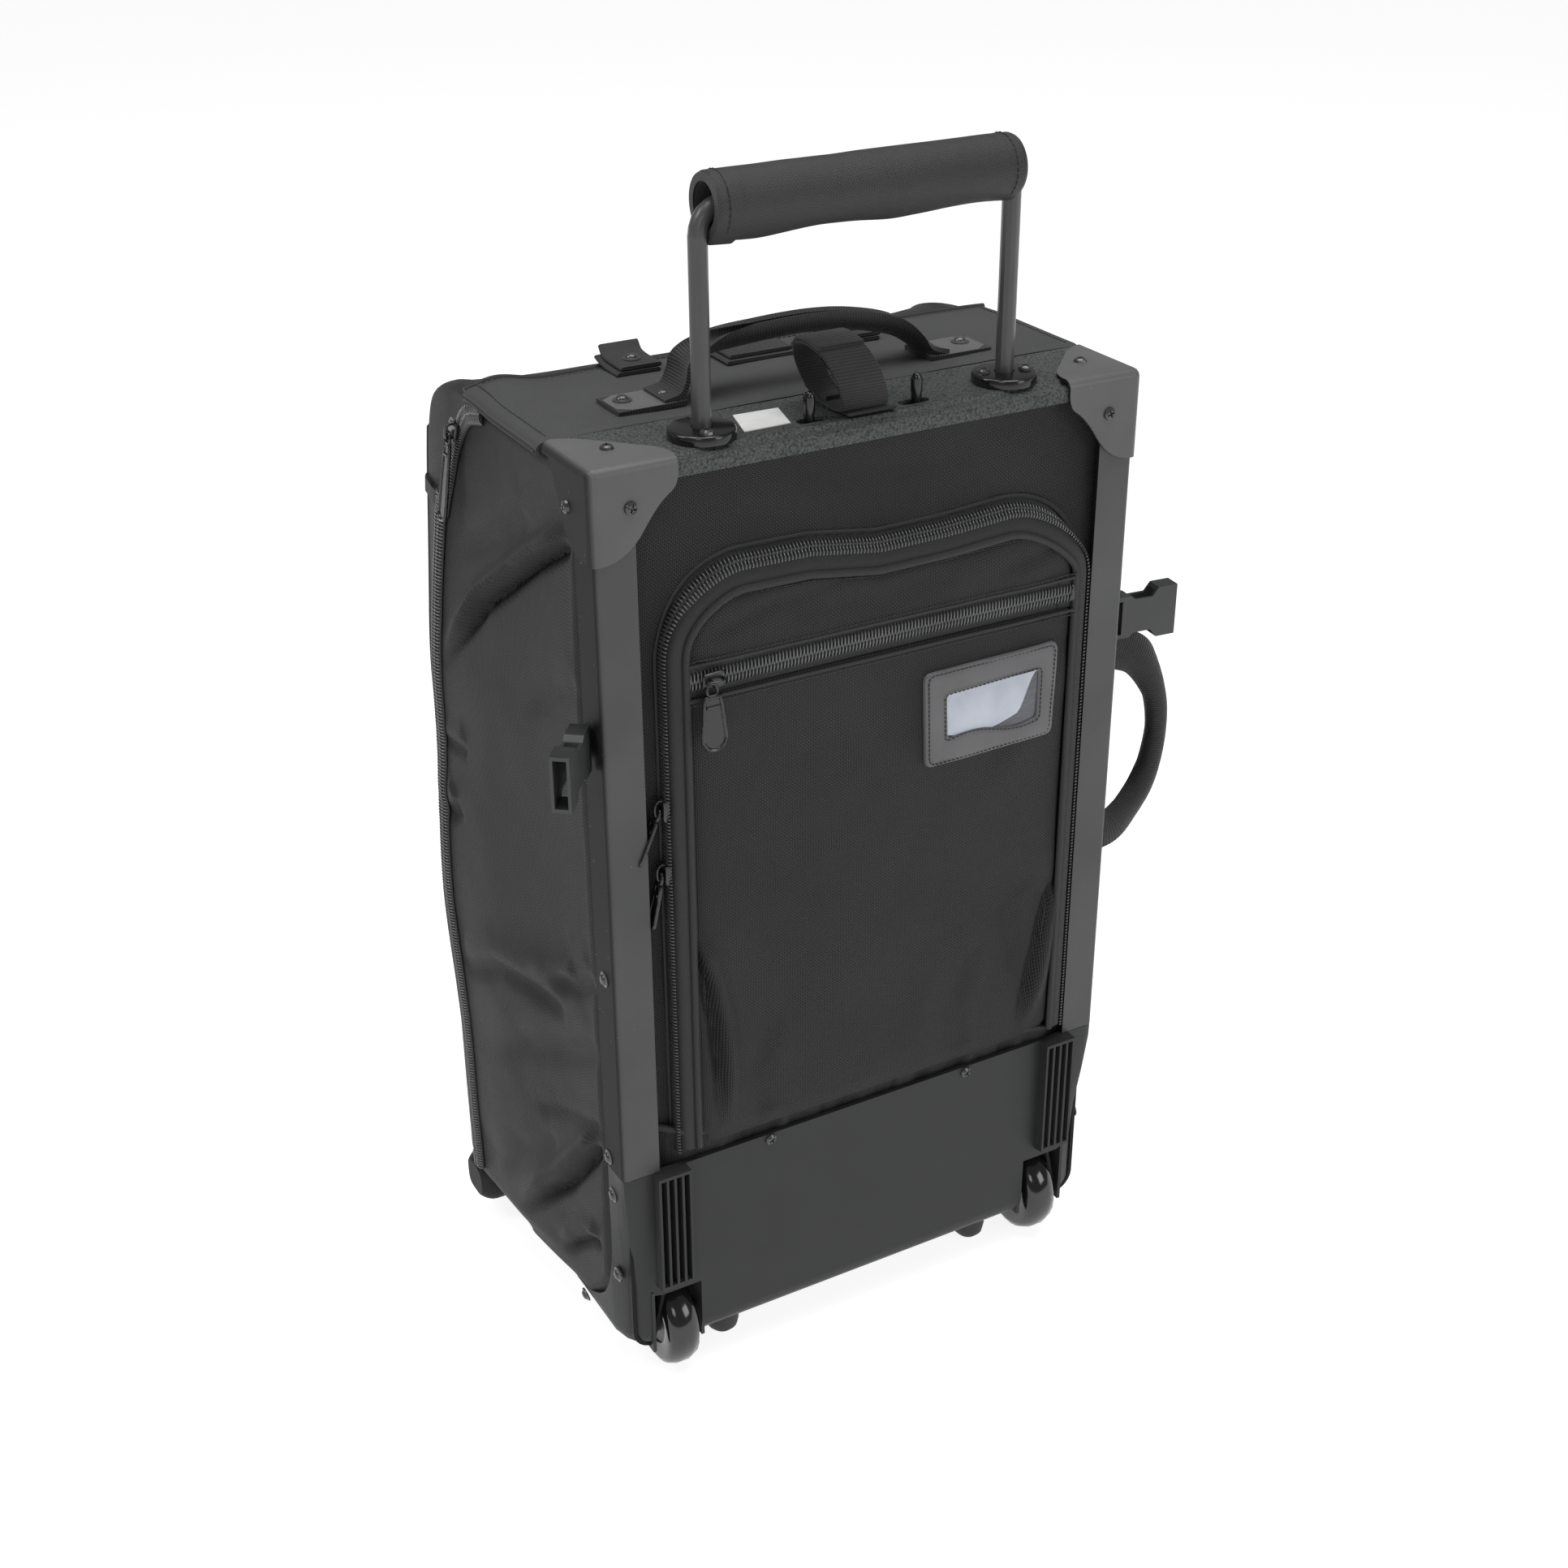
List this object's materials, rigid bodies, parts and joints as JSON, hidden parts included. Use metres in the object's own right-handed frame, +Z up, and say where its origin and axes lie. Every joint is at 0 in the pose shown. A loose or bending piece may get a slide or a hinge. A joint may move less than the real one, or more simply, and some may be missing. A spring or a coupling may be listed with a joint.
{
  "type": "pilot rolling flight case",
  "caption": "Soft-sided pilot rolling case on a metal frame with corner guards, moulded wheel tray, single-stage pull handle, zip pockets, lid and side hardware.",
  "frame": {"origin": "on the floor under the centre of the whole case, at the bottom of its bounding box", "axes": "+Z up, +Y from the rear frame towards the opening lid, +X to the right seen from the rear"},
  "size_m": [0.4072, 0.2471, 0.6825],
  "materials": {
    "tray_plastic": "moulded charcoal plastic with a fine grain",
    "rail_metal": "black powder-coated aluminium, satin; crinkle grain on top",
    "guard_metal": "satin black stamped metal",
    "black_steel": "blackened steel, semi-gloss",
    "rod_metal": "dark gunmetal, polished",
    "flange_plastic": "gloss black plastic",
    "bag_fabric": "black ballistic nylon with a coarse basket weave",
    "webbing": "black nylon webbing",
    "zip_tape": "black zip tape with coil teeth",
    "zip_metal": "gloss black cast zinc",
    "rubber": "black moulded rubber",
    "tyre": "gloss black urethane",
    "hub_plastic": "black moulded nylon",
    "buckle_plastic": "satin black acetal",
    "board": "stiff black plastic board",
    "holder_vinyl": "embossed black vinyl with stitched edge",
    "window": "clear vinyl, lightly scuffed"
  },
  "bodies": {
    "case": {"tray": "tray_plastic", "top_rail": "rail_metal", "side_rail_left": "rail_metal", "side_rail_right": "rail_metal", "corner_guard_left": "guard_metal", "corner_guard_right": "guard_metal", "guard_screw_rear_left": "black_steel", "guard_screw_rear_right": "black_steel", "guard_screw_top_left": "black_steel", "guard_screw_top_right": "black_steel", "guard_screw_side_left": "black_steel", "guard_screw_side_right": "black_steel", "tray_screw_left": "black_steel", "tray_screw_right": "black_steel", "flange_screw_1_left": "black_steel", "flange_screw_1_right": "black_steel", "flange_screw_2_left": "black_steel", "flange_screw_2_right": "black_steel", "handle_plate_left": "black_steel", "handle_plate_right": "black_steel", "guide_tube_left": "rod_metal", "guide_tube_right": "rod_metal", "wheel_axle_left": "rod_metal", "wheel_axle_right": "rod_metal", "handle_flange_left": "flange_plastic", "handle_flange_right": "flange_plastic", "bag_body": "bag_fabric", "rear_pocket": "bag_fabric", "strap_loop": "webbing", "pocket_zipper": "zip_tape", "flat_zipper": "zip_tape", "tube_bumper_left": "rubber", "tube_bumper_right": "rubber", "front_foot_left": "rubber", "front_foot_right": "rubber", "back_board": "board", "id_holder": "holder_vinyl", "id_window": "window"},
    "trolley": {"pull_handle": "rod_metal", "grip_sleeve": "bag_fabric"},
    "lever_left": {"release_lever_left": "flange_plastic"},
    "lever_right": {"release_lever_right": "flange_plastic"},
    "lid": {"lid": "bag_fabric", "front_pocket": "bag_fabric"},
    "carry_handle": {"carry_handle": "webbing"},
    "side_handle": {"side_handle": "webbing"},
    "pocket_upper_slider": {"pocket_upper_slider": "zip_metal"},
    "pocket_upper_pull": {"pocket_upper_pull": "zip_metal"},
    "pocket_lower_slider": {"pocket_lower_slider": "zip_metal"},
    "pocket_lower_pull": {"pocket_lower_pull": "zip_metal"},
    "flat_slider": {"flat_slider": "zip_metal"},
    "flat_pull": {"flat_pull": "zip_metal"},
    "lid_slider": {"lid_slider": "zip_metal"},
    "lid_pull": {"lid_pull": "zip_metal"},
    "wheel_left": {"wheel_tyre_left": "tyre", "wheel_hub_left": "hub_plastic"},
    "wheel_right": {"wheel_tyre_right": "tyre", "wheel_hub_right": "hub_plastic"},
    "buckle_left": {"side_buckle_left": "buckle_plastic"},
    "buckle_right": {"side_buckle_right": "buckle_plastic"}
  },
  "joints": [
    {"name": "trolley_slide", "type": "slide", "parent": "case", "child": "trolley", "axis": [0, 0, 1], "range_m": [-0.055, 0.35]},
    {"name": "lever_left_slide", "type": "slide", "parent": "case", "child": "lever_left", "axis": [1, 0, 0], "range_m": [0, 0.007], "stiffness_N_per_m": 300},
    {"name": "lever_right_slide", "type": "slide", "parent": "case", "child": "lever_right", "axis": [-1, 0, 0], "range_m": [0, 0.007], "stiffness_N_per_m": 300},
    {"name": "wheel_left_spin", "type": "hinge", "parent": "case", "child": "wheel_left", "pos_m": [-0.1361, -0.0801, 0.03], "axis": [1, 0, 0], "continuous": true},
    {"name": "wheel_right_spin", "type": "hinge", "parent": "case", "child": "wheel_right", "pos_m": [0.1129, -0.0801, 0.03], "axis": [1, 0, 0], "continuous": true},
    {"name": "lid_hinge", "type": "hinge", "parent": "case", "child": "lid", "pos_m": [-0.0116, 0.1118, 0.044], "axis": [-1, 0, 0], "range_deg": [0, 90]},
    {"name": "lid_slider_slide", "type": "slide", "parent": "case", "child": "lid_slider", "axis": [-0.125, 0.3495, -0.9286], "range_m": [0, 0.042]},
    {"name": "lid_pull_swing", "type": "hinge", "parent": "lid_slider", "child": "lid_pull", "pos_m": [-0.1754, 0.0576, 0.5283], "axis": [0, 1, 0], "range_deg": [0, 170]},
    {"name": "pocket_upper_slide", "type": "slide", "parent": "case", "child": "pocket_upper_slider", "axis": [0, 0, 1], "range_m": [0, 0.085]},
    {"name": "pocket_upper_pull_swing", "type": "hinge", "parent": "pocket_upper_slider", "child": "pocket_upper_pull", "pos_m": [-0.13265, -0.1084, 0.3733], "axis": [-1, 0, 0], "range_deg": [0, 170]},
    {"name": "pocket_lower_slide", "type": "slide", "parent": "case", "child": "pocket_lower_slider", "axis": [0, 0, 1], "range_m": [-0.135, 0]},
    {"name": "pocket_lower_pull_swing", "type": "hinge", "parent": "pocket_lower_slider", "child": "pocket_lower_pull", "pos_m": [-0.13265, -0.1084, 0.3363], "axis": [-1, 0, 0], "range_deg": [0, 95]},
    {"name": "flat_slide", "type": "slide", "parent": "case", "child": "flat_slider", "axis": [1, 0, 0], "range_m": [0, 0.205]},
    {"name": "flat_pull_swing", "type": "hinge", "parent": "flat_slider", "child": "flat_pull", "pos_m": [-0.109, -0.1105, 0.4428], "axis": [0, 1, 0], "range_deg": [-28, 28]},
    {"name": "carry_handle_swing", "type": "hinge", "parent": "case", "child": "carry_handle", "pos_m": [-0.0116, -0.0224, 0.562], "axis": [1, 0, 0], "range_deg": [-25, 25]},
    {"name": "side_handle_swing", "type": "hinge", "parent": "case", "child": "side_handle", "pos_m": [0.151, -0.0694, 0.327], "axis": [0, 0, 1], "range_deg": [-35, 35]},
    {"name": "buckle_left_swing", "type": "hinge", "parent": "case", "child": "buckle_left", "pos_m": [-0.1726, -0.0864, 0.412], "axis": [0, 0, 1], "range_deg": [-52, 4]},
    {"name": "buckle_right_swing", "type": "hinge", "parent": "case", "child": "buckle_right", "pos_m": [0.1489, -0.0824, 0.409], "axis": [0, 0, 1], "range_deg": [-30, 40]}
  ]
}
